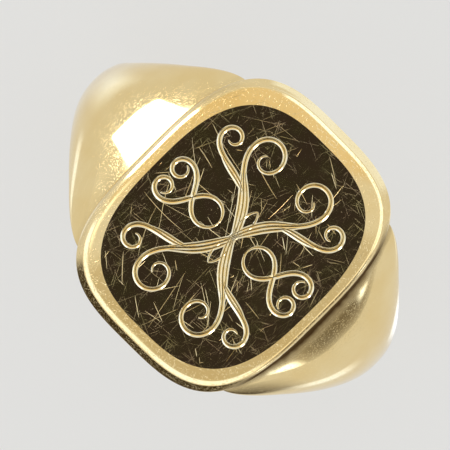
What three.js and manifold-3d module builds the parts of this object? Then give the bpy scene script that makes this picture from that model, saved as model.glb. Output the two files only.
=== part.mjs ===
// Gold signet ring with a cushion-shaped seal plate, built up from sheet and wire the way a
// bench jeweller makes one: a plain shank, two tapering shoulders, a box head closed by the
// seal plate, and a film of solder in every seam.
//
// Millimetres. Origin at the centre of the finger hole. X runs from shoulder to shoulder,
// Y along the finger, Z up through the seal plate. Angles are measured round Y from +Z.

import * as THREE from "three";
import { mergeVertices } from "three/addons/utils/BufferGeometryUtils.js";
import Module from "manifold-3d";

const wasm = await Module();
wasm.setup();

const DEG = Math.PI / 180;

// Finger hole and band
const HOLE_R = 9.5; // 19 mm inside diameter
const EDGE = 0.3; // softened edge of the finger hole
const ROUND = 0.7; // rounding between the crown and the flanks
const BACK = { crown: 11.0, arris: 10.5, half: 1.9, inner: 1.72 }; // band at the back of the finger
const SIDE = { crown: 11.55, arris: 10.8, half: 2.4, inner: 2.2 }; // band at the sides

// Box head
const BOX_TOP = 11.2; // height of the rim the seal plate is soldered to
const BOX_A = 6.35; // half size of that rim along X
const BOX_B = 7.95; // half size of that rim along Y
const BOX_N = 3.3; // superellipse exponent of the cushion shape
const BOX_END = 24 * DEG; // where the box walls stop and the shoulders start
const HOLE_EDGE_HEAD = 6.2; // half width of the finger hole's wall under the middle of the head
const WALL = 1.0; // box wall thickness at the top
const FOOT = 4.6; // inner face of the wall's foot
const LINER = 0.8; // thickness of the liner over the finger
const BOX_STEPS = 16; // facets along the box walls and liner
const VENT_R = 0.4; // hole that lets the hollow head breathe when it is soldered

// Seal plate
const PLATE_A = 6.6;
const PLATE_B = 8.2;
const PLATE_N = 3.3;
const PLATE_TOP = 12.3; // the plate is 1 mm thick and lies on its film of solder
const FACE_A = 5.75; // the flat inside the bevel
const FACE_B = 7.0;
const FACE_N = 2.9;
const RIM_POINTS = 96; // points round a cushion outline
const LEAN_A = 1.4; // makes the steep side narrower across X than across Y

// Rim of the seal plate, from its lower edge up the steep side, over the brow and in along the
// bevel. `drop` is the depth below the face, `inset` the share of the way in along Y from the
// plate's outline to the face.
const RIM = [
  { inset: 0.06, drop: 1 },
  { inset: 0, drop: 0.94 },
  { inset: 0.06, drop: 0.81 },
  { inset: 0.16, drop: 0.62 },
  { inset: 0.3, drop: 0.37 },
  { inset: 0.395, drop: 0.26 },
  { inset: 0.52, drop: 0.165 },
  { inset: 0.74, drop: 0.075 },
  { inset: 1, drop: 0 },
];

// Engraving: scrolls cut with a V-shaped graver, one quarter listed and mirrored to the rest.
// `bends` is the curvature at even stations along the cut; `beside` are shorter shading cuts
// that swell away from the main one by these distances between two fractions of its length.
const CUT_WIDTH = 0.3;
const CUT_DEPTH = 0.36; // depth as a fraction of width
const SCROLLS = [
  {
    start: [0, -1.9], heading: 45, length: 12.5, bends: [1.08, 0.07, 0.22, -0.4, -1.14, -1.03, -2.9],
    beside: [0.2, -0.2], from: 0.1, to: 0.5,
  },
  { start: [1.1, 0], heading: 90, length: 7.7, bends: [-1.26, -1.1, 0.04, 1.2, 2.15, 2.5], beside: [] },
  {
    start: [-0.85, 1.5], heading: 117, length: 6.9, bends: [0.64, 0.4, -0.15, -1.25, -1.95, -3.05],
    beside: [0.17], from: 0.08, to: 0.5,
  },
];

// Solder
const FILM = 0.1; // flat seam thickness
const SEAM = 0.5 * DEG; // the same gap, measured as an angle where a seam is radial
const SHORT = 0.04; // how far the film under the seal plate stops inside the box rim

// The shoulder's two guiding curves, from the box rim down to the side of the band
const CROWN_RAIL = [
  [BOX_A, 0, BOX_TOP],
  [8.6, 0, 9.7],
  [SIDE.crown, 0, 7.2],
  [SIDE.crown, 0, 0],
];
const CORNER = 2 ** (-1 / BOX_N);
const ARRIS_RAIL = [
  [BOX_A * CORNER, BOX_B * CORNER, BOX_TOP],
  [7.05, 6.8, 9.9],
  [SIDE.arris, SIDE.half, 4.5],
  [SIDE.arris, SIDE.half, 0],
];

// Cubic Bezier curve, run on as a straight line before its start
function rail(points, t) {
  const [p0, p1, p2, p3] = points;
  if (t < 0) return p0.map((c, i) => c + 3 * t * (p1[i] - c));
  const u = 1 - t;
  return p0.map((c, i) => u ** 3 * c + 3 * u * u * t * p1[i] + 3 * u * t * t * p2[i] + t ** 3 * p3[i]);
}

// Distance from the Y axis, and y, where a rail crosses the radial plane at an angle
function railAt(points, angle) {
  let low = -1;
  let high = 1;
  for (let k = 0; k < 50; k++) {
    const mid = (low + high) / 2;
    const [x, , z] = rail(points, mid);
    if (Math.atan2(x, z) < angle) low = mid;
    else high = mid;
  }
  const [x, y, z] = rail(points, high);
  return { r: Math.hypot(x, z), y };
}

// Half width of the box rim at x
function boxHalf(x) {
  return BOX_B * (1 - (Math.abs(x) / BOX_A) ** BOX_N) ** (1 / BOX_N);
}

const mix = (a, b, k) => a + (b - a) * k;
const CORNER_ANGLE = Math.atan2(ARRIS_RAIL[0][0], ARRIS_RAIL[0][2]);

// Measures of the ring's cross-section at an angle from straight up, the same on both sides
function measures(direction) {
  const angle = Math.abs(Math.atan2(Math.sin(direction), Math.cos(direction)));
  if (angle >= Math.PI / 2) {
    const k = (1 - Math.cos(2 * angle)) / 2; // 1 at the side, 0 at the back
    return {
      crown: mix(BACK.crown, SIDE.crown, k),
      arris: mix(BACK.arris, SIDE.arris, k),
      half: mix(BACK.half, SIDE.half, k),
      inner: mix(BACK.inner, SIDE.inner, k),
      power: 2.2,
      round: ROUND,
    };
  }
  const k = (1 + Math.cos(2 * angle)) / 2; // 1 at the top, 0 at the side
  const inner = mix(SIDE.inner, HOLE_EDGE_HEAD, k);
  if (angle < CORNER_ANGLE) {
    const crown = railAt(CROWN_RAIL, Math.max(angle, BOX_END)).r;
    return {
      crown,
      arris: BOX_TOP / Math.cos(angle),
      half: boxHalf(BOX_TOP * Math.tan(angle)),
      inner,
      power: 2.2 + 0.9 * k,
      round: 0.08,
    };
  }
  const arris = railAt(ARRIS_RAIL, angle);
  return {
    crown: railAt(CROWN_RAIL, angle).r,
    arris: arris.r,
    half: arris.y,
    inner,
    power: 2.2 + 0.9 * k,
    round: mix(0.08, ROUND, Math.min(1, (angle - CORNER_ANGLE) / (22 * DEG))),
  };
}

// Points of a quadratic curve from p to q around the corner c, both ends included
function bend(p, c, q, steps) {
  const out = [];
  for (let i = 0; i <= steps; i++) {
    const t = i / steps;
    out.push([0, 1].map((j) => (1 - t) ** 2 * p[j] + 2 * t * (1 - t) * c[j] + t * t * q[j]));
  }
  return out;
}

// Point at a distance from a towards b
function along(a, b, distance) {
  const d = Math.hypot(b[0] - a[0], b[1] - a[1]);
  return [mix(a[0], b[0], distance / d), mix(a[1], b[1], distance / d)];
}

// One half (+Y) of a section, mirrored to a closed loop. Points are [radius, y].
const closeLoop = (half) => half.concat(
  half.filter((p) => p[1] > 1e-9).reverse().map(([r, y]) => [r, -y]),
);

// Softened edge between the finger hole and a flank that runs towards `upper`
function holeEdge(inner, upper) {
  const corner = [HOLE_R, inner];
  return bend([HOLE_R, inner - EDGE], corner, along(corner, upper, EDGE), 3);
}

// Domed section of the shank and shoulders
function bandSection(angle) {
  const m = measures(angle);
  const arris = [m.arris, m.half];
  const crownAt = (y) => [m.arris + (m.crown - m.arris) * (1 - (y / m.half) ** m.power), y];
  const edge = holeEdge(m.inner, arris);
  const flankEnd = along(arris, [HOLE_R, m.inner], m.round * 0.8);
  const start = m.half - m.round;
  const half = [[HOLE_R, 0], ...edge];
  half.push([mix(edge[3][0], flankEnd[0], 0.5), mix(edge[3][1], flankEnd[1], 0.5)]);
  half.push(...bend(flankEnd, arris, crownAt(start), 5));
  const steps = 9;
  for (let i = 1; i <= steps; i++) half.push(crownAt(start * (1 - i / steps)));
  return closeLoop(half);
}

// Outline of a box wall from the middle of its foot out and up to the rim, at +Y
function wallChain(angle, footY) {
  const top = BOX_TOP / Math.cos(angle);
  const rim = [top, boxHalf(BOX_TOP * Math.tan(angle))];
  const edge = holeEdge(measures(angle).inner, rim);
  return [[HOLE_R, footY], ...edge, rim, [top, rim[1] - WALL], [HOLE_R + LINER, FOOT]];
}

const wallSection = (side) => (angle) => wallChain(angle, FOOT).map(([r, y]) => [r, side * y]);
const boxSeamSection = (angle) => closeLoop(wallChain(angle, 0));
const strip = (y0, y1) => () => [
  [HOLE_R, y0],
  [HOLE_R, y1],
  [HOLE_R + LINER, y1],
  [HOLE_R + LINER, y0],
];

const radial = (angle, [r, y]) => [r * Math.sin(angle), y, r * Math.cos(angle)];

// Closed geometry from positions and triangles, turned to face outwards
function solid(points, triangles) {
  let volume = 0;
  for (const [a, b, c] of triangles) {
    const [p, q, r] = [points[a], points[b], points[c]];
    volume += p[0] * (q[1] * r[2] - q[2] * r[1]) + p[1] * (q[2] * r[0] - q[0] * r[2])
      + p[2] * (q[0] * r[1] - q[1] * r[0]);
  }
  const index = volume < 0 ? triangles.flatMap(([a, b, c]) => [a, c, b]) : triangles.flat();
  const geometry = new THREE.BufferGeometry();
  geometry.setAttribute("position", new THREE.Float32BufferAttribute(points.flat(), 3));
  geometry.setIndex(index);
  return geometry;
}

// Sweep a section round the finger from one angle to another, closed at both ends
function sweep(section, from, to, steps) {
  const loops = [];
  for (let i = 0; i <= steps; i++) loops.push(section(mix(from, to, i / steps)));
  const size = loops[0].length;
  const points = loops.flatMap((loop, i) => loop.map((p) => radial(mix(from, to, i / steps), p)));
  const triangles = [];
  for (let i = 0; i < steps; i++) {
    for (let j = 0; j < size; j++) {
      const a = i * size + j;
      const b = i * size + ((j + 1) % size);
      triangles.push([a, b, a + size], [b, b + size, a + size]);
    }
  }
  // In rising index order a cap's triangle turns the same way as its loop
  const capOf = (loop) => THREE.ShapeUtils
    .triangulateShape(loop.map(([r, y]) => new THREE.Vector2(r, y)), [])
    .map((triangle) => [...triangle].sort((a, b) => a - b));
  for (const [a, b, c] of capOf(loops[0])) triangles.push([c, b, a]);
  const last = steps * size;
  for (const [a, b, c] of capOf(loops[steps])) triangles.push([last + a, last + b, last + c]);
  return solid(points, triangles);
}

// Cushion outline: a superellipse, with its points at even angles round the centre
function cushionLoop(a, b, n) {
  const loop = [];
  for (let j = 0; j < RIM_POINTS; j++) {
    const c = Math.cos((2 * Math.PI * j) / RIM_POINTS);
    const s = Math.sin((2 * Math.PI * j) / RIM_POINTS);
    const r = ((Math.abs(c) / a) ** n + (Math.abs(s) / b) ** n) ** (-1 / n);
    loop.push([r * c, r * s]);
  }
  return loop;
}

// Position-only, welded copy of a geometry
function weld(geometry) {
  const bare = geometry.clone();
  bare.deleteAttribute("normal");
  bare.deleteAttribute("uv");
  return mergeVertices(bare, 1e-5);
}

function toManifold(geometry) {
  const bare = weld(geometry);
  return new wasm.Manifold(new wasm.Mesh({
    numProp: 3,
    vertProperties: new Float32Array(bare.attributes.position.array),
    triVerts: new Uint32Array(bare.index.array),
  }));
}

function fromManifold(body) {
  const mesh = body.getMesh();
  const geometry = new THREE.BufferGeometry();
  geometry.setAttribute("position", new THREE.BufferAttribute(mesh.vertProperties.slice(), 3));
  geometry.setIndex(new THREE.BufferAttribute(mesh.triVerts.slice(), 1));
  return geometry;
}

// Seal plate: cushion outlines stacked up its rim, closed by flat fans
function sealPlate() {
  const points = RIM.flatMap(({ inset, drop }) => {
    const outline = cushionLoop(
      mix(PLATE_A, FACE_A, inset ** LEAN_A),
      mix(PLATE_B, FACE_B, inset),
      mix(PLATE_N, FACE_N, inset),
    );
    return outline.map((p) => [...p, PLATE_TOP - drop]);
  });
  points.push([0, 0, PLATE_TOP - RIM[0].drop], [0, 0, PLATE_TOP]);
  const [bottom, top] = [points.length - 2, points.length - 1];
  const last = RIM.length - 1;
  const triangles = [];
  for (let j = 0; j < RIM_POINTS; j++) {
    const next = (j + 1) % RIM_POINTS;
    for (let i = 0; i < last; i++) {
      const [a, b] = [i * RIM_POINTS + j, i * RIM_POINTS + next];
      triangles.push([a, b, a + RIM_POINTS], [b, b + RIM_POINTS, a + RIM_POINTS]);
    }
    triangles.push([next, j, bottom], [last * RIM_POINTS + j, last * RIM_POINTS + next, top]);
  }
  return solid(points, triangles);
}

// Walk along a scroll, keeping a point at each small turn or longer straight run
function scrollPoints({ start, heading, length, bends }) {
  const fine = 600;
  const step = length / fine;
  let [x, y] = start;
  let angle = heading * DEG;
  let [turned, run] = [0, 0];
  const kept = [{ x, y, angle, t: 0 }];
  for (let i = 1; i <= fine; i++) {
    const station = (i / fine) * (bends.length - 1);
    const k = Math.min(Math.floor(station), bends.length - 2);
    const turn = mix(bends[k], bends[k + 1], station - k) * step;
    angle += turn / 2;
    x += Math.cos(angle) * step;
    y += Math.sin(angle) * step;
    angle += turn / 2;
    turned += Math.abs(turn);
    run += step;
    if (turned > 15 * DEG || run > 0.8 || i === fine) {
      kept.push({ x, y, angle, t: i / fine });
      [turned, run] = [0, 0];
    }
  }
  return kept;
}

// Wedge that cuts a V groove through a row of points, each with its own width
function graver(row) {
  const lift = 0.05;
  const points = [];
  const triangles = [[2, 1, 0]];
  row.forEach(({ x, y, angle, width }) => {
    const depth = CUT_DEPTH * width;
    const half = (width / 2) * (1 + lift / depth);
    const [nx, ny] = [-Math.sin(angle) * half, Math.cos(angle) * half];
    points.push([x + nx, y + ny, PLATE_TOP + lift], [x - nx, y - ny, PLATE_TOP + lift]);
    points.push([x, y, PLATE_TOP - depth]);
  });
  for (let i = 0; i + 3 < points.length; i += 3) {
    for (const [a, b] of [[0, 1], [1, 2], [2, 0]]) {
      triangles.push([i + a, i + b, i + a + 3], [i + b, i + b + 3, i + a + 3]);
    }
  }
  const end = points.length - 3;
  triangles.push([end, end + 1, end + 2]);
  return solid(points, triangles);
}

// All the cuts of one scroll: the main one and those beside it
function scrollCuts(scroll) {
  const path = scrollPoints(scroll);
  const swell = (t) => Math.max(0, Math.sin(Math.PI * t)) ** 0.6;
  const main = path.map((p) => ({ ...p, width: CUT_WIDTH * (0.2 + 0.8 * swell(p.t)) }));
  const cuts = [main];
  for (const gap of scroll.beside) {
    const inside = path.filter((p) => p.t >= scroll.from && p.t <= scroll.to);
    const [first, last] = [inside[0].t, inside[inside.length - 1].t];
    cuts.push(inside.map((p) => {
      const t = (p.t - first) / (last - first);
      const off = gap * Math.max(0, Math.sin(Math.PI * t));
      const [x, y] = [p.x - Math.sin(p.angle) * off, p.y + Math.cos(p.angle) * off];
      return { ...p, x, y, width: CUT_WIDTH * (0.15 + 0.65 * swell(t)) };
    }));
  }
  return cuts;
}

// Seal plate with the scrolls cut into its face, one after another, in all four quarters
function engravedPlate() {
  let plate = toManifold(sealPlate());
  for (const [sx, sy] of [[1, 1], [-1, 1], [1, -1], [-1, -1]]) {
    for (const cut of SCROLLS.flatMap(scrollCuts)) {
      const turned = cut.map((p) => {
        const [dx, dy] = [Math.cos(p.angle) * sx, Math.sin(p.angle) * sy];
        return { x: p.x * sx, y: p.y * sy, angle: Math.atan2(dy, dx), width: p.width };
      });
      plate = plate.subtract(toManifold(graver(turned)));
    }
  }
  return fromManifold(plate);
}

// Film of solder between the box rim and the seal plate, open in the middle like the rim
function tableSolder() {
  const outline = cushionLoop(BOX_A - SHORT, BOX_B - SHORT, BOX_N);
  const hollow = [];
  for (const side of [1, -1]) {
    for (let i = 0; i <= BOX_STEPS; i++) {
      const x = BOX_TOP * Math.tan(side * mix(-BOX_END, BOX_END, i / BOX_STEPS));
      hollow.push([x, side * (boxHalf(x) - WALL)]);
    }
  }
  const shape = new THREE.Shape(outline.map(([x, y]) => new THREE.Vector2(x, y)));
  shape.holes.push(new THREE.Path(hollow.map(([x, y]) => new THREE.Vector2(x, y))));
  const film = new THREE.ExtrudeGeometry(shape, { depth: FILM, bevelEnabled: false });
  film.translate(0, 0, BOX_TOP);
  return film;
}

// Shoulder swept from the box to the side of the band, filed flat under the seal plate
function shoulder(side) {
  const swept = sweep(bandSection, side * (BOX_END + SEAM), side * (90 * DEG - SEAM / 2), 24);
  const block = new THREE.BoxGeometry(4 * BOX_TOP, 4 * BOX_TOP, 2 * BOX_TOP);
  return fromManifold(toManifold(swept).intersect(toManifold(block)));
}

function liner() {
  const plate = sweep(strip(FILM - FOOT, FOOT - FILM), -BOX_END, BOX_END, BOX_STEPS);
  const drill = new THREE.CylinderGeometry(VENT_R, VENT_R, 3 * LINER, 24);
  drill.rotateX(Math.PI / 2);
  drill.translate(0, 0, HOLE_R + LINER / 2);
  return fromManifold(toManifold(plate).subtract(toManifold(drill)));
}

const ring = new THREE.Group();
ring.name = "signet_ring";

function add(name, geometry, color, roughness) {
  const shape = weld(geometry);
  shape.computeVertexNormals();
  const material = new THREE.MeshStandardMaterial({ color, metalness: 1, roughness });
  const mesh = new THREE.Mesh(shape, material);
  mesh.name = name;
  ring.add(mesh);
}

const GOLD = 0xd8b268;
const FACE_GOLD = 0xc9a055;
const INNER_GOLD = 0xcfa75c;
const SOLDER = 0xe0c98c;

add("table_plate", engravedPlate(), FACE_GOLD, 0.12);
add("solder_table", tableSolder(), SOLDER, 0.3);

for (const [name, side] of [["left", -1], ["right", 1]]) {
  add(`shoulder_${name}`, shoulder(side), GOLD, 0.18);
  const start = side * BOX_END;
  add(`solder_box_${name}`, sweep(boxSeamSection, start, start + side * SEAM, 1), SOLDER, 0.3);
  const quarter = side * 90 * DEG;
  const half = side * SEAM / 2;
  add(`solder_shank_${name}`, sweep(bandSection, quarter - half, quarter + half, 1), SOLDER, 0.3);
}

for (const [name, side] of [["front", -1], ["rear", 1]]) {
  add(`flank_${name}`, sweep(wallSection(side), -BOX_END, BOX_END, BOX_STEPS), GOLD, 0.18);
  const film = strip(side * (FOOT - FILM), side * FOOT);
  add(`solder_liner_${name}`, sweep(film, -BOX_END, BOX_END, BOX_STEPS), SOLDER, 0.3);
}

add("finger_liner", liner(), INNER_GOLD, 0.25);

add("shank", sweep(bandSection, 90 * DEG + SEAM / 2, 270 * DEG - SEAM / 2, 36), GOLD, 0.18);

export default ring;
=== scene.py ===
"""Signet ring: the looks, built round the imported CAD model.

Lengths are in millimetres until a mesh is made. X runs from shoulder to shoulder, Y along the
finger, Z up through the seal plate. Angles round the finger are measured from +Z towards +X.
"""

import math
import random

import bmesh
import bpy
from mathutils import Matrix, Vector


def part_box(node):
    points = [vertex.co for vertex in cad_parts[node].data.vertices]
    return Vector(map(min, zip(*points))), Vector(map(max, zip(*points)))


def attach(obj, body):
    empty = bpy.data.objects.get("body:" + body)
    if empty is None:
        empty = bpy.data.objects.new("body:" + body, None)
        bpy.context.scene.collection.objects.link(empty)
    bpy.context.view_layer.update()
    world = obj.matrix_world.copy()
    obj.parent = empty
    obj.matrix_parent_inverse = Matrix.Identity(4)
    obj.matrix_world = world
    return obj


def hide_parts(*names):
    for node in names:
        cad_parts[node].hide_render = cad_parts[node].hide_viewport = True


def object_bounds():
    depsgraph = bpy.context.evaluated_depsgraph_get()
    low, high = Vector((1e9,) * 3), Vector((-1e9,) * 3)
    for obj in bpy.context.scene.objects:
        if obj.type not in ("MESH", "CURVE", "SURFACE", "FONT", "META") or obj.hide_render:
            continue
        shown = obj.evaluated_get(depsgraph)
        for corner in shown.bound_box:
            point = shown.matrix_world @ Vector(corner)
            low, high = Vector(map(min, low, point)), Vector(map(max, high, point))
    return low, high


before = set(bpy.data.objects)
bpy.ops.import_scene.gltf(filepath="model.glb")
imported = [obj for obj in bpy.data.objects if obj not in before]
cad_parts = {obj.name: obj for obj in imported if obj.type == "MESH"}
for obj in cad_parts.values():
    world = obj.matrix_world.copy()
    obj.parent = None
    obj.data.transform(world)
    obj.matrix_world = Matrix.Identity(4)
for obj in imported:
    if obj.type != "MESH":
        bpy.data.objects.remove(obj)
cad_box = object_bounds()

MM = 0.001


def node_box(name):
    """Low and high corner of a CAD node's box."""
    low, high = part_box(name)
    return low / MM, high / MM


def mix(a, b, k):
    """Number that lies the share k of the way from a to b."""
    return a + (b - a) * k


# ---------------------------------------------------------------- sizes from the frame

PLATE_HIGH = node_box("table_plate")[1]
SHANK_LOW, SHANK_HIGH = node_box("shank")
LINER_HIGH = node_box("finger_liner")[1]
FILM_LOW, FILM_HIGH = node_box("solder_table")
SEAM_HIGH = node_box("solder_liner_rear")[1]

LINER = 0.8  # thickness of the liner over the finger
HOLE_R = LINER_HIGH.z - LINER
EDGE = 0.3  # softened edge of the finger hole
ROUND = 0.7  # rounding between the crown and the flanks
BACK = {"crown": -SHANK_LOW.z, "arris": 10.5, "half": 1.9, "inner": 1.72}
SIDE = {"crown": SHANK_HIGH.x, "arris": 10.8, "half": SHANK_HIGH.y, "inner": 2.2}

BOX_TOP = FILM_LOW.z
FILM = FILM_HIGH.z - FILM_LOW.z
SHORT = 0.04  # how far the film under the plate stops inside the box rim
BOX_A = FILM_HIGH.x + SHORT
BOX_B = FILM_HIGH.y + SHORT
BOX_N = 3.3  # power of the superellipse round the box rim; the higher, the squarer
BOX_END = math.radians(24)  # where the box head ends and the shoulders begin
HOLE_EDGE_HEAD = 6.2  # half width of the finger hole under the plate
WALL = 1.0  # width of the box rim
FOOT = SEAM_HIGH.y  # inner edge of a wall's foot
VENT_R = 0.4
SEAM = math.radians(0.5)  # angle that a soldered seam across the band takes up

PLATE_A, PLATE_B = PLATE_HIGH.x, PLATE_HIGH.y
PLATE_TOP = PLATE_HIGH.z
PLATE_N, FACE_N = 3.3, 2.9  # powers of the superellipses round the plate and the face
FACE_A, FACE_B = 5.75, 7.0  # the flat inside the bevel
LEAN_A = 1.4  # makes the steep side narrower across X than across Y

DOME = 2.2  # power of the curve across the shank; the higher, the squarer
DOME_HEAD = 0.9  # how much that power rises towards the head
CREST = 0.08  # rounding between crown and flank beside the seal plate
CREST_RUN = math.radians(22)  # angle past the plate's corner over which it widens to ROUND

CROWN_RAIL = [(BOX_A, 0, BOX_TOP), (8.6, 0, 9.7), (SIDE["crown"], 0, 7.2), (SIDE["crown"], 0, 0)]
CORNER = 2 ** (-1 / BOX_N)
ARRIS_RAIL = [
    (BOX_A * CORNER, BOX_B * CORNER, BOX_TOP),
    (7.05, 6.8, 9.9),
    (SIDE["arris"], SIDE["half"], 4.5),
    (SIDE["arris"], SIDE["half"], 0),
]

# ---------------------------------------------------------------- the ring's cross-sections


def rail(points, t):
    """Cubic Bezier curve, run on as a straight line before its start."""
    p0, p1, p2, p3 = points
    if t < 0:
        return [c + 3 * t * (p1[i] - c) for i, c in enumerate(p0)]
    u = 1 - t
    weights = (u**3, 3 * u * u * t, 3 * u * t * t, t**3)
    return [sum(w * p[i] for w, p in zip(weights, points)) for i in range(3)]


def rail_at(points, angle):
    """Distance from the Y axis, and y, where a rail crosses the radial plane at an angle."""
    low, high = -1.0, 1.0
    for _ in range(40):
        mid = (low + high) / 2
        x, _, z = rail(points, mid)
        if math.atan2(x, z) < angle:
            low = mid
        else:
            high = mid
    x, y, z = rail(points, high)
    return math.hypot(x, z), y


def box_half(x):
    """Half width of the box rim at x."""
    return BOX_B * (1 - (abs(x) / BOX_A) ** BOX_N) ** (1 / BOX_N)


CORNER_ANGLE = math.atan2(ARRIS_RAIL[0][0], ARRIS_RAIL[0][2])


def measures(direction):
    """Measures of the cross-section at an angle from straight up, the same on both sides."""
    angle = abs(math.atan2(math.sin(direction), math.cos(direction)))
    if angle >= math.pi / 2:
        k = (1 - math.cos(2 * angle)) / 2
        return {**{key: mix(BACK[key], SIDE[key], k) for key in BACK}, "power": DOME, "round": ROUND}
    k = (1 + math.cos(2 * angle)) / 2
    crown = rail_at(CROWN_RAIL, max(angle, BOX_END))[0]
    if angle < CORNER_ANGLE:
        arris, half = BOX_TOP / math.cos(angle), box_half(BOX_TOP * math.tan(angle))
    else:
        arris, half = rail_at(ARRIS_RAIL, angle)
    soft = min(1, max(0, (angle - CORNER_ANGLE) / CREST_RUN))
    inner = mix(SIDE["inner"], HOLE_EDGE_HEAD, k)
    return {
        "crown": crown, "arris": arris, "half": half, "inner": inner,
        "power": DOME + DOME_HEAD * k, "round": mix(CREST, ROUND, soft),
    }


def bend(p, c, q, steps):
    """Points of a quadratic curve from p to q round the corner c."""
    out = []
    for i in range(steps + 1):
        t = i / steps
        out.append([(1 - t) ** 2 * p[j] + 2 * t * (1 - t) * c[j] + t * t * q[j] for j in (0, 1)])
    return out


def along(a, b, distance):
    """Point at a distance from a towards b."""
    k = distance / math.dist(a, b)
    return [mix(a[0], b[0], k), mix(a[1], b[1], k)]


def between(a, b, parts=4):
    """Points that divide the line from a to b into equal parts, without its ends."""
    return [[mix(a[j], b[j], i / parts) for j in (0, 1)] for i in range(1, parts)]


def close_loop(half):
    """A half section at +Y, mirrored to a closed loop."""
    return half + [[r, -y] for r, y in reversed(half) if y > 1e-9]


def hole_edge(inner, upper):
    """Softened edge between the finger hole and a flank that runs towards `upper`."""
    corner = [HOLE_R, inner]
    return bend([HOLE_R, inner - EDGE], corner, along(corner, upper, EDGE), 6)


def band_section(angle):
    """Domed section of the shank and shoulders, as [radius, y] points."""
    m = measures(angle)
    arris = [m["arris"], m["half"]]

    def crown_at(y):
        return [m["arris"] + (m["crown"] - m["arris"]) * (1 - (y / m["half"]) ** m["power"]), y]

    edge = hole_edge(m["inner"], arris)
    flank_end = along(arris, [HOLE_R, m["inner"]], m["round"] * 0.8)
    start = m["half"] - m["round"]
    half = [[HOLE_R, 0], [HOLE_R, m["inner"] / 2], *edge, *between(edge[-1], flank_end)]
    half += bend(flank_end, arris, crown_at(start), 10)
    steps = 28  # points over half of the crown
    half += [crown_at(start * (1 - i / steps)) for i in range(1, steps + 1)]
    return close_loop(half)


def wall_chain(angle, foot_y):
    """Outline of a box wall from the middle of its foot out and up to the rim, at +Y."""
    top = BOX_TOP / math.cos(angle)
    rim = [top, box_half(BOX_TOP * math.tan(angle))]
    edge = hole_edge(measures(angle)["inner"], rim)
    face = between(edge[-1], rim)
    return [[HOLE_R, foot_y], *edge, *face, rim, [top, rim[1] - WALL], [HOLE_R + LINER, FOOT]]


def box_end_section(angle):
    """Whole section of the box head's two walls and liner, where a shoulder meets it."""
    return close_loop(wall_chain(angle, 0))


def box_wall_section(side):
    """Section of one wall of the box head, at +Y or -Y by the sign of side."""
    return lambda angle: [[r, side * y] for r, y in wall_chain(angle, FOOT)]


def strip(y0, y1):
    """Section as thick as the liner, from y0 to y1, the same at every angle."""
    top = HOLE_R + LINER
    return lambda angle: [[HOLE_R, y0], [HOLE_R, y1], [top, y1], [top, y0]]


# ---------------------------------------------------------------- meshes


def new_piece(name, verts, faces):
    """Closed mesh object from points in millimetres, its faces turned outwards."""
    mesh = bpy.data.meshes.new(name)
    mesh.from_pydata([[c * MM for c in v] for v in verts], [], faces)
    work = bmesh.new()
    work.from_mesh(mesh)
    bmesh.ops.recalc_face_normals(work, faces=work.faces)
    work.to_mesh(mesh)
    work.free()
    piece = bpy.data.objects.new(name, mesh)
    bpy.context.scene.collection.objects.link(piece)
    return piece


def sweep(name, section, start, end, step=math.radians(1)):
    """A section swept round the finger from one angle to another, closed at both ends."""
    steps = max(1, round(abs(end - start) / step))
    verts = []
    for i in range(steps + 1):
        angle = mix(start, end, i / steps)
        loop = section(angle)
        verts += [[r * math.sin(angle), y, r * math.cos(angle)] for r, y in loop]
    size = len(loop)
    faces = [list(range(size)), list(range(steps * size, (steps + 1) * size))]
    for i in range(steps):
        for j in range(size):
            a, b = i * size + j, i * size + (j + 1) % size
            faces.append([a, b, b + size, a + size])
    return new_piece(name, verts, faces)


def cut_top(piece, height):
    """Cuts a piece off flat at a height, and closes it."""
    work = bmesh.new()
    work.from_mesh(piece.data)
    everything = work.verts[:] + work.edges[:] + work.faces[:]
    bmesh.ops.bisect_plane(
        work, geom=everything, plane_co=(0, 0, height * MM), plane_no=(0, 0, 1), clear_outer=True
    )
    bmesh.ops.holes_fill(work, edges=[e for e in work.edges if e.is_boundary])
    bmesh.ops.recalc_face_normals(work, faces=work.faces)
    work.to_mesh(piece.data)
    work.free()


def cushion_loop(a, b, n, count=288):
    """Points of a cushion outline, a superellipse with half sizes a and b."""
    loop = []
    for j in range(count):
        phi = 2 * math.pi * j / count
        c, s = math.cos(phi), math.sin(phi)
        r = ((abs(c) / a) ** n + (abs(s) / b) ** n) ** (-1 / n)
        loop.append((r * c, r * s))
    return loop


def plate_profile():
    """(inset, drop) from the face's edge over the bevel, the lip, the brow and the steep side.

    The inset is the share of the way in along Y from the plate's outline to the face, and the
    drop is below the face, in millimetres.
    """
    lower = PLATE_TOP - (BOX_TOP + FILM)
    foot = (0, lower - 0.06)
    bevel = bend((1, 0), (0.8, 0.05), (0.6, 0.14), 10)
    lip = bend((0.6, 0.14), (0.48, 0.192), (0.36, 0.3), 8)[1:]
    brow = bend((0.36, 0.3), (0.33, 0.327), (0.28, 0.42), 8)[1:]
    side = bend((0.28, 0.42), (0.05, 0.8), foot, 12)[1:]
    under = bend(foot, (0, lower), (0.06, lower), 4)[1:]
    return bevel + lip + brow + side + under


def make_plate():
    """Seal plate before it is engraved: a stack of cushion outlines down its rim."""
    profile = plate_profile()
    verts = []
    for inset, drop in profile:
        half_x = mix(PLATE_A, FACE_A, inset**LEAN_A)
        loop = cushion_loop(half_x, mix(PLATE_B, FACE_B, inset), mix(PLATE_N, FACE_N, inset))
        verts += [(x, y, PLATE_TOP - drop) for x, y in loop]
    count = len(verts) // len(profile)
    faces = [list(range(count)), list(range(len(verts) - count, len(verts)))]
    for i in range(len(profile) - 1):
        for j in range(count):
            a, b = i * count + j, i * count + (j + 1) % count
            faces.append([a, b, b + count, a + count])
    return new_piece("table_plate_engraved", verts, faces)


# ---------------------------------------------------------------- engraving

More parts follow.
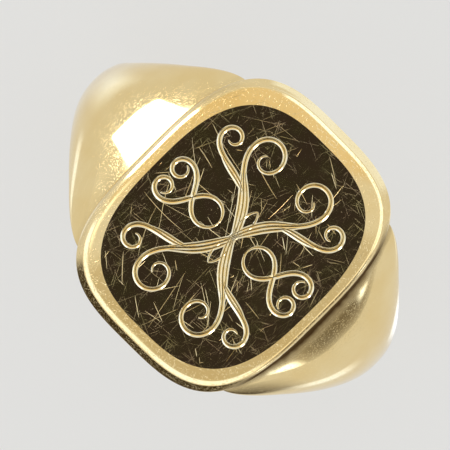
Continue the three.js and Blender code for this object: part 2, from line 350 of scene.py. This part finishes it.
CUT_WIDTH = 0.3
CUT_DEPTH = 0.36  # depth as a fraction of width
CUT_SOLE = 0.14  # flat left at the bottom of a cut, as a fraction of its width
CUT_STEP = 0.07  # spacing of the points along a cut
SCRATCH_SOLE = 0.1  # the same for a scratch
SCRATCH_EDGE = 0.15  # how far scratches keep from the edge of the face

# One quarter of the ornament. A scroll's bends are its curvatures from start to end. Finer cuts
# run beside it, at these offsets and over this part of its length.
SCROLLS = [
    {
        "start": (0, -1.9), "heading": 45, "length": 12.5,
        "bends": (1.08, 0.07, 0.22, -0.4, -1.14, -1.03, -2.9), "beside": (0.2, -0.2),
        "from": 0.1, "to": 0.5,
    },
    {
        "start": (1.1, 0), "heading": 90, "length": 7.7,
        "bends": (-1.26, -1.1, 0.04, 1.2, 2.15, 2.5), "beside": (),
    },
    {
        "start": (-0.85, 1.5), "heading": 117, "length": 6.9,
        "bends": (0.64, 0.4, -0.15, -1.25, -1.95, -3.05), "beside": (0.17,),
        "from": 0.08, "to": 0.5,
    },
]


def scroll_points(scroll):
    """(x, y, heading, fraction) along a scroll whose curvature is linear between its bends."""
    count = round(scroll["length"] / CUT_STEP)
    step = scroll["length"] / count
    (x, y), heading = scroll["start"], math.radians(scroll["heading"])
    bends = scroll["bends"]
    points = [(x, y, heading, 0)]
    for i in range(1, count + 1):
        station = (i - 0.5) / count * (len(bends) - 1)
        k = min(int(station), len(bends) - 2)
        turn = mix(bends[k], bends[k + 1], station - k) * step
        heading += turn / 2
        x, y = x + math.cos(heading) * step, y + math.sin(heading) * step
        heading += turn / 2
        points.append((x, y, heading, i / count))
    return points


def swell(t):
    """Width of a cut along its length, from 0 at its ends to 1 in the middle."""
    return max(0, math.sin(math.pi * t)) ** 0.6


def scroll_cuts(scroll):
    """The cuts of one scroll, each a list of (x, y, heading, width)."""
    path = scroll_points(scroll)
    cuts = [[(x, y, h, CUT_WIDTH * (0.2 + 0.8 * swell(t))) for x, y, h, t in path]]
    for gap in scroll["beside"]:
        inside = [p for p in path if scroll["from"] <= p[3] <= scroll["to"]]
        cut = []
        for i, (x, y, h, _) in enumerate(inside):
            t = i / (len(inside) - 1)
            off = gap * math.sin(math.pi * t)
            width = CUT_WIDTH * (0.15 + 0.65 * swell(t))
            cut.append((x - math.sin(h) * off, y + math.cos(h) * off, h, width))
        cuts.append(cut)
    return cuts


def graver(name, row, depth, sole, material):
    """Wedge that cuts a groove along a row of (x, y, heading, width).

    The depth, and the sole left flat at its bottom, are fractions of the groove's width.
    """
    lift = 0.04  # how far the wedge stands above the face
    verts = []
    for x, y, heading, width in row:
        deep = depth * width
        half = width / 2 * (1 + lift * (1 - sole) / deep)
        foot = width / 2 * sole
        for off, z in ((half, lift), (-half, lift), (-foot, -deep), (foot, -deep)):
            verts.append((x - math.sin(heading) * off, y + math.cos(heading) * off, PLATE_TOP + z))
    faces = [[0, 1, 2, 3], list(range(len(verts) - 4, len(verts)))]
    for i in range(0, len(verts) - 4, 4):
        faces += [[i + a, i + b, i + b + 4, i + a + 4] for a, b in ((0, 1), (1, 2), (2, 3), (3, 0))]
    cutter = new_piece(name, verts, faces)
    cutter.data.materials.append(material)
    return cutter


def mirrored(cut, sx, sy):
    """A cut mirrored across X, Y or both, by signs."""
    return [(x * sx, y * sy, math.atan2(math.sin(h) * sy, math.cos(h) * sx), w) for x, y, h, w in cut]


def scroll_gravers(material):
    """Gravers for the ornament: each scroll's cuts, mirrored to the four quarters of the face."""
    cutters = []
    for sx, sy in ((1, 1), (-1, 1), (1, -1), (-1, -1)):
        for cut in [c for scroll in SCROLLS for c in scroll_cuts(scroll)]:
            cutters.append(graver("scroll", mirrored(cut, sx, sy), CUT_DEPTH, CUT_SOLE, material))
    return cutters


def on_face(x, y):
    """Whether a point is on the flat face, clear of its edge."""
    a, b = FACE_A - SCRATCH_EDGE, FACE_B - SCRATCH_EDGE
    return (abs(x) / a) ** FACE_N + (abs(y) / b) ** FACE_N < 1


def scratch_gravers(material, count=130):
    """Gravers for fine, nearly straight scratches from wear, strewn over the flat face."""
    chance = random.Random(11)
    cutters = []
    while len(cutters) < count:
        x, y = chance.uniform(-FACE_A, FACE_A), chance.uniform(-FACE_B, FACE_B)
        heading = chance.gauss(math.radians(130), 0.8)
        length = min(4.5, chance.lognormvariate(-0.1, 0.7))
        width = chance.uniform(0.014, 0.034)
        depth = chance.uniform(0.16, 0.38)
        curve = chance.gauss(0, 0.05)
        steps = 6
        row = []
        for i in range(steps + 1):
            t = i / steps
            row.append((x, y, heading, width * (0.3 + 0.7 * swell(t))))
            x += math.cos(heading) * length / steps
            y += math.sin(heading) * length / steps
            heading += curve * length / steps
        if all(on_face(x, y) for x, y, *_ in row):
            cutters.append(graver("scratch", row, depth, SCRATCH_SOLE, material))
    return cutters


def carve(piece, cutters):
    """Subtracts every cutter from a piece, then removes the cutters."""
    tools = bpy.data.collections.new("gravers")
    for cutter in cutters:
        tools.objects.link(cutter)
    cut = piece.modifiers.new("engraving", "BOOLEAN")
    cut.operation = "DIFFERENCE"
    cut.operand_type = "COLLECTION"
    cut.collection = tools
    cut.solver = "MANIFOLD"
    cut.material_mode = "TRANSFER"
    graph = bpy.context.evaluated_depsgraph_get()
    carved = bpy.data.meshes.new_from_object(piece.evaluated_get(graph))
    piece.modifiers.clear()
    piece.data = carved
    for cutter in cutters:
        bpy.data.objects.remove(cutter)
    bpy.data.collections.remove(tools)


# ---------------------------------------------------------------- materials


class Nodes:
    """A material's node tree, with short calls to add and join nodes."""

    def __init__(self, name):
        self.material = bpy.data.materials.new(name)
        self.material.use_nodes = True
        self.tree = self.material.node_tree
        self.shader = self.tree.nodes["Principled BSDF"]
        self.place = self.add("ShaderNodeTexCoord").outputs["Object"]

    def add(self, kind, **settings):
        node = self.tree.nodes.new(kind)
        for key, value in settings.items():
            setattr(node, key, value)
        return node

    def feed(self, socket, source):
        """Puts a number, colour or another node's output into a socket."""
        if isinstance(source, bpy.types.NodeSocket):
            self.tree.links.new(source, socket)
        else:
            socket.default_value = source

    def noise(self, scale, detail=2, stretch=(1, 1, 1), turn=0.0, shift=0.0, distortion=0.0):
        """Noise with `scale` features a millimetre, stretched and turned about Z."""
        mapping = self.add("ShaderNodeMapping", vector_type="TEXTURE")
        self.feed(mapping.inputs["Vector"], self.place)
        mapping.inputs["Location"].default_value = (shift * MM, shift * MM, 0)
        mapping.inputs["Rotation"].default_value = (0, 0, turn)
        mapping.inputs["Scale"].default_value = stretch
        noise = self.add("ShaderNodeTexNoise")
        self.feed(noise.inputs["Vector"], mapping.outputs[0])
        noise.inputs["Scale"].default_value = scale / MM
        noise.inputs["Detail"].default_value = detail
        noise.inputs["Distortion"].default_value = distortion
        return noise.outputs["Fac"]

    def spread(self, value, low, high, to_low=0.0, to_high=1.0):
        """Maps a value from one range to another, clamped."""
        node = self.add("ShaderNodeMapRange")
        self.feed(node.inputs["Value"], value)
        for key, number in (("From Min", low), ("From Max", high), ("To Min", to_low), ("To Max", to_high)):
            node.inputs[key].default_value = number
        return node.outputs["Result"]

    def maths(self, operation, a, b):
        node = self.add("ShaderNodeMath", operation=operation)
        self.feed(node.inputs[0], a)
        self.feed(node.inputs[1], b)
        return node.outputs[0]

    def blend(self, factor, a, b):
        """Mixes two colours; a Mix node's colour sockets are 6 and 7, and 2 on the way out."""
        node = self.add("ShaderNodeMix", data_type="RGBA")
        self.feed(node.inputs["Factor"], factor)
        self.feed(node.inputs[6], a)
        self.feed(node.inputs[7], b)
        return node.outputs[2]

    def bump(self, height, depth, normal=None):
        """Bump whose height of 1 stands `depth` millimetres proud."""
        node = self.add("ShaderNodeBump")
        node.inputs["Distance"].default_value = depth * MM
        self.feed(node.inputs["Height"], height)
        if normal:
            self.feed(node.inputs["Normal"], normal)
        return node.outputs["Normal"]

    def streaks(self, turns, length, width, cover, shift=0.0):
        """Fine scratches in several directions: 1 on a scratch, 0 between them."""
        total = None
        for i, turn in enumerate(turns):
            fine = self.noise(1, 1, (length, width, width), turn, shift + 7.3 * i, 0.15)
            line = self.spread(fine, cover, cover + 0.05)
            total = line if total is None else self.maths("MAXIMUM", total, line)
        return total

    def crease_shade_and_dirt(self, start, full):
        """Painted shade, with some dirt, in the crease between plate and shoulders, from one height to
        another.

        It has a ragged edge, is heavier on the +X side, where the crease lies in shade, and is only beside
        the plate.
        """
        edge = 0.04 * MM
        reach = 6.8 * MM  # from this far on -X to this far on +X the painted shade gets heavier
        plate_end, outside = 5.3 * MM, 6.2 * MM
        apart = self.add("ShaderNodeSeparateXYZ")
        self.feed(apart.inputs[0], self.place)
        x, z = apart.outputs["X"], apart.outputs["Z"]
        ragged = self.maths("ADD", z, self.spread(self.noise(1.6, 3), 0.3, 0.7, -edge, edge))
        shade_and_dirt = self.spread(ragged, start * MM, full * MM)
        shade_and_dirt = self.maths("MULTIPLY", shade_and_dirt, self.spread(x, -reach, reach, 0.1, 1))
        beside = self.spread(self.maths("ABSOLUTE", x, 0), plate_end, outside)
        return self.maths("MULTIPLY", shade_and_dirt, beside)


GOLD = (0.94, 0.755, 0.405, 1)
DEEP_GOLD = (0.90, 0.69, 0.33, 1)
# Dark brown of the painted shade, with some dirt, in the crease beside the plate.
CREASE_SHADE_BROWN = (0.075, 0.04, 0.014, 1)
FACE_GOLD = (0.95, 0.73, 0.46, 1)
FACE_OLIVE = (0.85, 0.74, 0.37, 1)
# Paler gold for the graver's cut walls: a painted highlight.
CUT_HIGHLIGHT_GOLD = (0.98, 0.88, 0.62, 1)
CUT_HIGHLIGHT_AMBER = (0.97, 0.82, 0.5, 1)
SOLDER = (0.93, 0.80, 0.52, 1)
SOLDER_DEEP = (0.86, 0.70, 0.40, 1)


def polished_gold(name, roughness=0.04, scratch_depth=0.0009, crease=None):
    """Worn polished gold: soft waves, hairline scratches and slight colour drift.

    `crease` is the height in millimetres at which the painted crease shade, with some dirt, starts and the
    one at which it is full.
    """
    n = Nodes(name)
    colour = n.blend(n.spread(n.noise(0.35, 3), 0.35, 0.65), GOLD, DEEP_GOLD)
    lines = n.streaks((0.2, 1.1, 1.9, 2.6), 3, 0.06, 0.68)
    smudge = n.spread(n.noise(1.1, 4), 0.4, 0.75, 0, 0.05)
    rough = n.maths("ADD", n.maths("MULTIPLY", lines, 0.08), n.maths("ADD", smudge, roughness))
    # Painted shade in the crease beside the plate, with some dirt: dark brown, dull and not metallic.
    if crease:
        crease_shade_and_dirt = n.crease_shade_and_dirt(*crease)
        colour = n.blend(crease_shade_and_dirt, colour, CREASE_SHADE_BROWN)
        rough = n.maths("ADD", rough, n.maths("MULTIPLY", crease_shade_and_dirt, 0.4))
        n.feed(n.shader.inputs["Metallic"], n.maths("SUBTRACT", 1, crease_shade_and_dirt))
        n.shader.inputs["Specular IOR Level"].default_value = 0
    else:
        n.shader.inputs["Metallic"].default_value = 1
    n.feed(n.shader.inputs["Base Color"], colour)
    n.feed(n.shader.inputs["Roughness"], rough)
    waves = n.bump(n.noise(0.4, 1), 0.012)
    n.feed(n.shader.inputs["Normal"], n.bump(lines, -scratch_depth, waves))
    return n.material


def scratched_face():
    """The flat of the seal plate: mirror gold under a web of fine scratches."""
    n = Nodes("gold_face")
    tint = n.spread(n.noise(0.9, 3), 0.35, 0.65)
    n.feed(n.shader.inputs["Base Color"], n.blend(tint, FACE_GOLD, FACE_OLIVE))
    n.shader.inputs["Metallic"].default_value = 1
    fine = n.streaks((0.1, 0.55, 1.15, 1.6, 2.05, 2.7), 3, 0.028, 0.71)
    fine = n.maths("MULTIPLY", fine, n.spread(n.noise(0.8, 3), 0.35, 0.7, 0.2, 0.8))
    fine = n.maths("MAXIMUM", fine, n.spread(n.noise(5, 2), 0.72, 0.76))
    web = n.streaks((0.35, 1.35, 1.8, 2.4), 1.6, 0.03, 0.63, 40)
    fine = n.maths("MAXIMUM", fine, n.maths("MULTIPLY", web, 0.22))
    smudge = n.spread(n.noise(0.9, 4), 0.35, 0.75, 0.05, 0.1)
    n.feed(n.shader.inputs["Roughness"], n.maths("ADD", smudge, n.maths("MULTIPLY", fine, 0.05)))
    n.feed(n.shader.inputs["Normal"], n.bump(fine, -0.0015))
    return n.material


def bright_cut():
    """Walls left by the graver: a paler gold than the body, as a painted highlight, with faint chatter
    along the cut.
    """
    n = Nodes("gold_bright_cut")
    tint = n.spread(n.noise(2, 2), 0.4, 0.6)
    n.feed(n.shader.inputs["Base Color"], n.blend(tint, CUT_HIGHLIGHT_GOLD, CUT_HIGHLIGHT_AMBER))
    n.shader.inputs["Metallic"].default_value = 1
    chatter = n.noise(14, 2)
    n.feed(n.shader.inputs["Roughness"], n.spread(chatter, 0.3, 0.7, 0.09, 0.15))
    n.feed(n.shader.inputs["Normal"], n.bump(chatter, 0.0015))
    return n.material


def satin_inside():
    """Inside of the ring, worn to a satin by the finger, with marks running round the hole."""
    n = Nodes("gold_inner")
    tint = n.spread(n.noise(0.4, 3), 0.35, 0.65)
    n.feed(n.shader.inputs["Base Color"], n.blend(tint, GOLD, DEEP_GOLD))
    n.shader.inputs["Metallic"].default_value = 1
    round_marks = n.noise(1, 3, (3, 0.06, 3))
    n.feed(n.shader.inputs["Roughness"], n.spread(round_marks, 0.3, 0.7, 0.16, 0.3))
    n.feed(n.shader.inputs["Normal"], n.bump(round_marks, 0.002, n.bump(n.noise(0.5, 2), 0.02)))
    return n.material


def solder_gold():
    """Gold solder, a little paler than the metal it joins."""
    n = Nodes("gold_solder")
    grain = n.noise(3, 3)
    n.feed(n.shader.inputs["Base Color"], n.blend(grain, SOLDER, SOLDER_DEEP))
    n.shader.inputs["Metallic"].default_value = 1
    n.feed(n.shader.inputs["Roughness"], n.spread(grain, 0.3, 0.7, 0.14, 0.3))
    n.feed(n.shader.inputs["Normal"], n.bump(grain, 0.004))
    return n.material


# ---------------------------------------------------------------- the pieces


def finish_piece(piece, node, material=None, smooth_below=28):
    """Shades a piece, hands it to the ring's body and lets it stand for its CAD node."""
    if material:
        piece.data.materials.append(material)
    piece.data.shade_smooth()
    piece.data.set_sharp_from_angle(angle=math.radians(smooth_below))
    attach(piece, "root")
    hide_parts(node)


def mark_face(plate, rim, face):
    """Gives the flat face its own material and the rest of the plate the rim's."""
    plate.data.materials.append(rim)
    plate.data.materials.append(face)
    for polygon in plate.data.polygons:
        polygon.material_index = 1 if polygon.center.z > (PLATE_TOP - 0.001) * MM else 0


def make_table_film():
    """Solder between the box rim and the plate, open in the middle like the rim."""
    outer = cushion_loop(BOX_A - SHORT, BOX_B - SHORT, BOX_N)
    hole = []
    steps = 48  # points along each long side of the opening
    for side in (1, -1):
        for i in range(steps + 1):
            x = BOX_TOP * math.tan(side * mix(-BOX_END, BOX_END, i / steps))
            hole.append((x, side * (box_half(x) - WALL)))
    work = bmesh.new()
    for loop in (outer, hole):
        verts = [work.verts.new((x * MM, y * MM, BOX_TOP * MM)) for x, y in loop]
        for a, b in zip(verts, verts[1:] + verts[:1]):
            work.edges.new((a, b))
    flat = bmesh.ops.triangle_fill(work, use_beauty=True, edges=work.edges[:])
    faces = [g for g in flat["geom"] if isinstance(g, bmesh.types.BMFace)]
    raised = bmesh.ops.extrude_face_region(work, geom=faces)
    top = [g for g in raised["geom"] if isinstance(g, bmesh.types.BMVert)]
    bmesh.ops.translate(work, verts=top, vec=(0, 0, FILM * MM))
    bmesh.ops.recalc_face_normals(work, faces=work.faces)
    mesh = bpy.data.meshes.new("solder_table_fine")
    work.to_mesh(mesh)
    work.free()
    film = bpy.data.objects.new("solder_table_fine", mesh)
    bpy.context.scene.collection.objects.link(film)
    return film


def make_liner():
    """Liner over the finger, with the hole that let the head breathe while it was soldered."""
    liner = sweep("finger_liner_fine", strip(FILM - FOOT, FOOT - FILM), -BOX_END, BOX_END)
    count = 48
    verts = []
    for z in (HOLE_R - LINER, HOLE_R + 2 * LINER):
        for j in range(count):
            phi = 2 * math.pi * j / count
            verts.append((VENT_R * math.cos(phi), VENT_R * math.sin(phi), z))
    faces = [list(range(count)), list(range(count, 2 * count))]
    faces += [[j, (j + 1) % count, count + (j + 1) % count, count + j] for j in range(count)]
    carve(liner, [new_piece("drill", verts, faces)])
    return liner


def build_ring():
    """Every piece of the ring, each with its material and the CAD node it stands for."""
    # Heights of the painted crease shade, with some dirt, under the plate and down its steep side.
    shade_under_plate = (BOX_TOP - 0.7, BOX_TOP - 0.27)
    shade_down_side = (PLATE_TOP - 0.37, PLATE_TOP - 0.54)
    body = polished_gold("gold_body", scratch_depth=0.0014, crease=shade_under_plate)
    rim = polished_gold("gold_rim", roughness=0.06, scratch_depth=0.006, crease=shade_down_side)
    inner = satin_inside()
    solder = solder_gold()

    plate = make_plate()
    mark_face(plate, rim, scratched_face())
    carve(plate, scroll_gravers(bright_cut()) + scratch_gravers(polished_gold("gold_scratch", 0.2)))
    finish_piece(plate, "table_plate", smooth_below=6)

    film = make_table_film()
    finish_piece(film, "solder_table", solder)

    quarter = math.pi / 2
    for side, word in ((-1, "left"), (1, "right")):
        head, join = side * (BOX_END + SEAM), side * (quarter - SEAM / 2)
        shoulder = sweep(f"shoulder_{word}_fine", band_section, head, join)
        cut_top(shoulder, BOX_TOP)
        finish_piece(shoulder, f"shoulder_{word}", body)
        seam = sweep(f"solder_box_{word}_fine", box_end_section, side * BOX_END, head)
        finish_piece(seam, f"solder_box_{word}", solder)
        seam = sweep(f"solder_shank_{word}_fine", band_section, join, side * (quarter + SEAM / 2))
        finish_piece(seam, f"solder_shank_{word}", solder)

    for side, word in ((-1, "front"), (1, "rear")):
        wall = sweep(f"flank_{word}_fine", box_wall_section(side), -BOX_END, BOX_END)
        finish_piece(wall, f"flank_{word}", body)
        section = strip(side * (FOOT - FILM), side * FOOT)
        seam = sweep(f"solder_liner_{word}_fine", section, -BOX_END, BOX_END)
        finish_piece(seam, f"solder_liner_{word}", solder)

    finish_piece(make_liner(), "finger_liner", inner)
    shank = sweep("shank_fine", band_section, quarter + SEAM / 2, 3 * quarter - SEAM / 2)
    finish_piece(shank, "shank", body)


# ---------------------------------------------------------------- stage, light and camera


COOL = (0.9, 1, 1.2)
WARM = (1, 0.8, 0.5)


def glow(name, colour, strength, soft):
    """Even light that fades out towards a panel's edges, over these shares of its sides."""
    material = bpy.data.materials.new(name)
    material.use_nodes = True
    tree = material.node_tree
    tree.nodes.clear()
    place = tree.nodes.new("ShaderNodeSeparateXYZ")
    tree.links.new(tree.nodes.new("ShaderNodeUVMap").outputs["UV"], place.inputs[0])
    fade = []
    for axis, share in enumerate(soft):
        ramp = tree.nodes.new("ShaderNodeMapRange")
        ramp.interpolation_type = "SMOOTHSTEP"
        away = tree.nodes.new("ShaderNodeMath")
        away.operation = "PINGPONG"
        away.inputs[1].default_value = 0.5
        tree.links.new(place.outputs[axis], away.inputs[0])
        tree.links.new(away.outputs[0], ramp.inputs["Value"])
        ramp.inputs["From Max"].default_value = share
        fade.append(ramp)
    both = tree.nodes.new("ShaderNodeMath")
    both.operation = "MULTIPLY"
    for i in (0, 1):
        tree.links.new(fade[i].outputs[0], both.inputs[i])
    emit = tree.nodes.new("ShaderNodeEmission")
    emit.inputs["Color"].default_value = (*colour, 1)
    emit.inputs["Strength"].default_value = strength
    clear = tree.nodes.new("ShaderNodeBsdfTransparent")
    mixed = tree.nodes.new("ShaderNodeMixShader")
    tree.links.new(both.outputs[0], mixed.inputs[0])
    tree.links.new(clear.outputs[0], mixed.inputs[1])
    tree.links.new(emit.outputs[0], mixed.inputs[2])
    out = tree.nodes.new("ShaderNodeOutputMaterial")
    tree.links.new(mixed.outputs[0], out.inputs["Surface"])
    return material


def panel(name, place, steps, colour, strength, soft):
    """Sheet that only reflections see. `place` gives its point in millimetres at (u, v)."""
    across, up = steps
    verts = [Vector(place(i / across, j / up)) * MM for j in range(up + 1) for i in range(across + 1)]
    faces = []
    for j in range(up):
        for i in range(across):
            a = j * (across + 1) + i
            faces.append((a, a + 1, a + across + 2, a + across + 1))
    mesh = bpy.data.meshes.new(name)
    mesh.from_pydata(verts, [], faces)
    spots = mesh.uv_layers.new(name="UVMap").data
    for loop in mesh.loops:
        j, i = divmod(loop.vertex_index, across + 1)
        spots[loop.index].uv = (i / across, j / up)
    mesh.materials.append(glow(name, colour, strength, soft))
    sheet = bpy.data.objects.new(name, mesh)
    sheet.visible_camera = False
    sheet.visible_diffuse = False
    sheet.visible_shadow = False
    bpy.context.scene.collection.objects.link(sheet)


def wall(name, azimuths, elevations, distance, colour, strength, soft):
    """Curved panel round the ring. Azimuths run from +X towards +Y; all angles in degrees."""

    def place(u, v):
        a, e = math.radians(mix(*azimuths, u)), math.radians(mix(*elevations, v))
        return (
            distance * math.cos(a) * math.cos(e),
            distance * math.sin(a) * math.cos(e),
            distance * math.sin(e),
        )

    panel(name, place, (24, 8), colour, strength, soft)


def ceiling(name, centre, size, height, colour, strength, soft):
    """Flat square panel above the ring."""

    def place(u, v):
        return centre[0] + (u - 0.5) * size, centre[1] + (v - 0.5) * size, height

    panel(name, place, (1, 1), colour, strength, soft)


def mat(name, azimuths, radii, colour, strength, soft, lift=0.3):
    """Sheet at a small lift above the floor, between two azimuths and two radii."""

    def place(u, v):
        a, r = math.radians(mix(*azimuths, u)), mix(*radii, v)
        return r * math.cos(a), r * math.sin(a), cad_box[0].z / MM + lift

    panel(name, place, (24, 4), colour, strength, soft)


def make_floor():
    """Plain pale floor that glows a little, so that it stays even under the ring."""
    size = 3000
    z = cad_box[0].z / MM
    mesh = bpy.data.meshes.new("floor")
    corners = [(-size, -size, z), (size, -size, z), (size, size, z), (-size, size, z)]
    mesh.from_pydata([[c * MM for c in v] for v in corners], [], [(0, 1, 2, 3)])
    material = bpy.data.materials.new("pale_floor")
    material.use_nodes = True
    shader = material.node_tree.nodes["Principled BSDF"]
    shader.inputs["Base Color"].default_value = (0.3, 0.3, 0.3, 1)
    shader.inputs["Roughness"].default_value = 1
    shader.inputs["Specular IOR Level"].default_value = 0
    shader.inputs["Emission Color"].default_value = (1, 1, 0.985, 1)
    shader.inputs["Emission Strength"].default_value = 0.516
    mesh.materials.append(material)
    floor = bpy.data.objects.new("floor", mesh)
    bpy.context.scene.collection.objects.link(floor)


def light_the_scene():
    """Pale room round the ring, with the panels and mats that its gold reflects."""
    world = bpy.data.worlds.new("pale_room")
    world.use_nodes = True
    background = world.node_tree.nodes["Background"]
    background.inputs["Color"].default_value = (1, 0.995, 0.97, 1)
    background.inputs["Strength"].default_value = 0.8
    bpy.context.scene.world = world
    make_floor()
    ceiling("dark_ceiling", (13, -20), 120, 300, (1, 0.83, 0.68), 0.034, (0.08, 0.08))
    wall("warm_wall", (62, 205), (24, 80), 340, (1, 0.86, 0.62), 0.85, (0.12, 0.12))
    wall("dim_wall", (-125, 30), (24, 80), 345, (1, 0.92, 0.75), 0.62, (0.12, 0.12))
    wall("strip_front", (-160, -12), (11, 46), 325, COOL, 1.6, (0.08, 0.28))
    wall("strip_rear", (12, 112), (11, 39), 325, COOL, 1.7, (0.08, 0.2))
    wall("dim_side", (-21, 21), (-9, 30), 315, (1, 0.9, 0.75), 0.2, (0.42, 0.42))
    wall("strip_left", (-178, -125), (45, 56), 330, (1, 0.97, 0.9), 1.6, (0.35, 0.35))
    wall("strip_side", (-40, 40), (18, 36), 320, (1, 0.96, 0.88), 1.3, (0.3, 0.35))
    wall("glint_near", (-22, -11), (-4, 7), 310, COOL, 2.6, (0.4, 0.4))
    wall("glint_far", (3, 13), (3, 12), 310, COOL, 2.4, (0.4, 0.4))
    wall("softbox", (172, 187), (-1, 32), 300, (1, 0.98, 0.93), 7, (0.02, 0.02))
    mat("bright_floor_rear", (55, 125), (13, 110), COOL, 1.1, (0.15, 0.15))
    mat("glint_right", (4, 26), (13, 20), COOL, 1.4, (0.4, 0.3))
    mat("glint_left", (162, 192), (13, 42), COOL, 1.15, (0.5, 0.5))
    mat("dark_mat", (-134, -20), (26, 110), WARM, 0.055, (0.13, 0.1))
    mat("dark_mat_near", (-116, -64), (13, 27), WARM, 0.055, (0.05, 0.05))
    for azimuth in (-150, -16, 38):
        mat("floor_glow", (azimuth - 14, azimuth + 14), (25, 36), COOL, 1.3, (0.35, 0.35), lift=0.4)
    scene = bpy.context.scene
    scene.view_settings.view_transform = "Standard"
    scene.view_settings.look = "None"
    scene.view_settings.exposure = 0
    scene.view_settings.gamma = 1


def place_camera():
    """Camera above the seal plate, leaning a little towards -X and +Y."""
    lean_x, lean_y = -0.044, 0.065  # radians from straight above
    roll = math.radians(134.9)  # direction of the picture's top in the XY plane
    distance = 160
    frame_width = 25.168  # how much of the ring's plane the picture shows
    target = Vector((0, 0, 6))
    towards = Vector((math.tan(lean_x), math.tan(lean_y), 1)).normalized()
    top = Vector((math.cos(roll), math.sin(roll), 0))
    right = (-towards).cross(top).normalized()
    up = right.cross(-towards)
    aim = target - right * 0.52 + up * 0.18  # the ring stands a little off the middle
    data = bpy.data.cameras.new("camera")
    data.sensor_width = 36
    data.lens = data.sensor_width * distance / frame_width
    data.clip_start, data.clip_end = 10 * MM, 10
    camera = bpy.data.objects.new("camera", data)
    camera.location = (aim + towards * distance) * MM
    camera.rotation_mode = "QUATERNION"
    camera.rotation_quaternion = Matrix((right, up, towards)).transposed().to_quaternion()
    bpy.context.scene.collection.objects.link(camera)
    bpy.context.scene.camera = camera


place_camera()
light_the_scene()
build_ring()
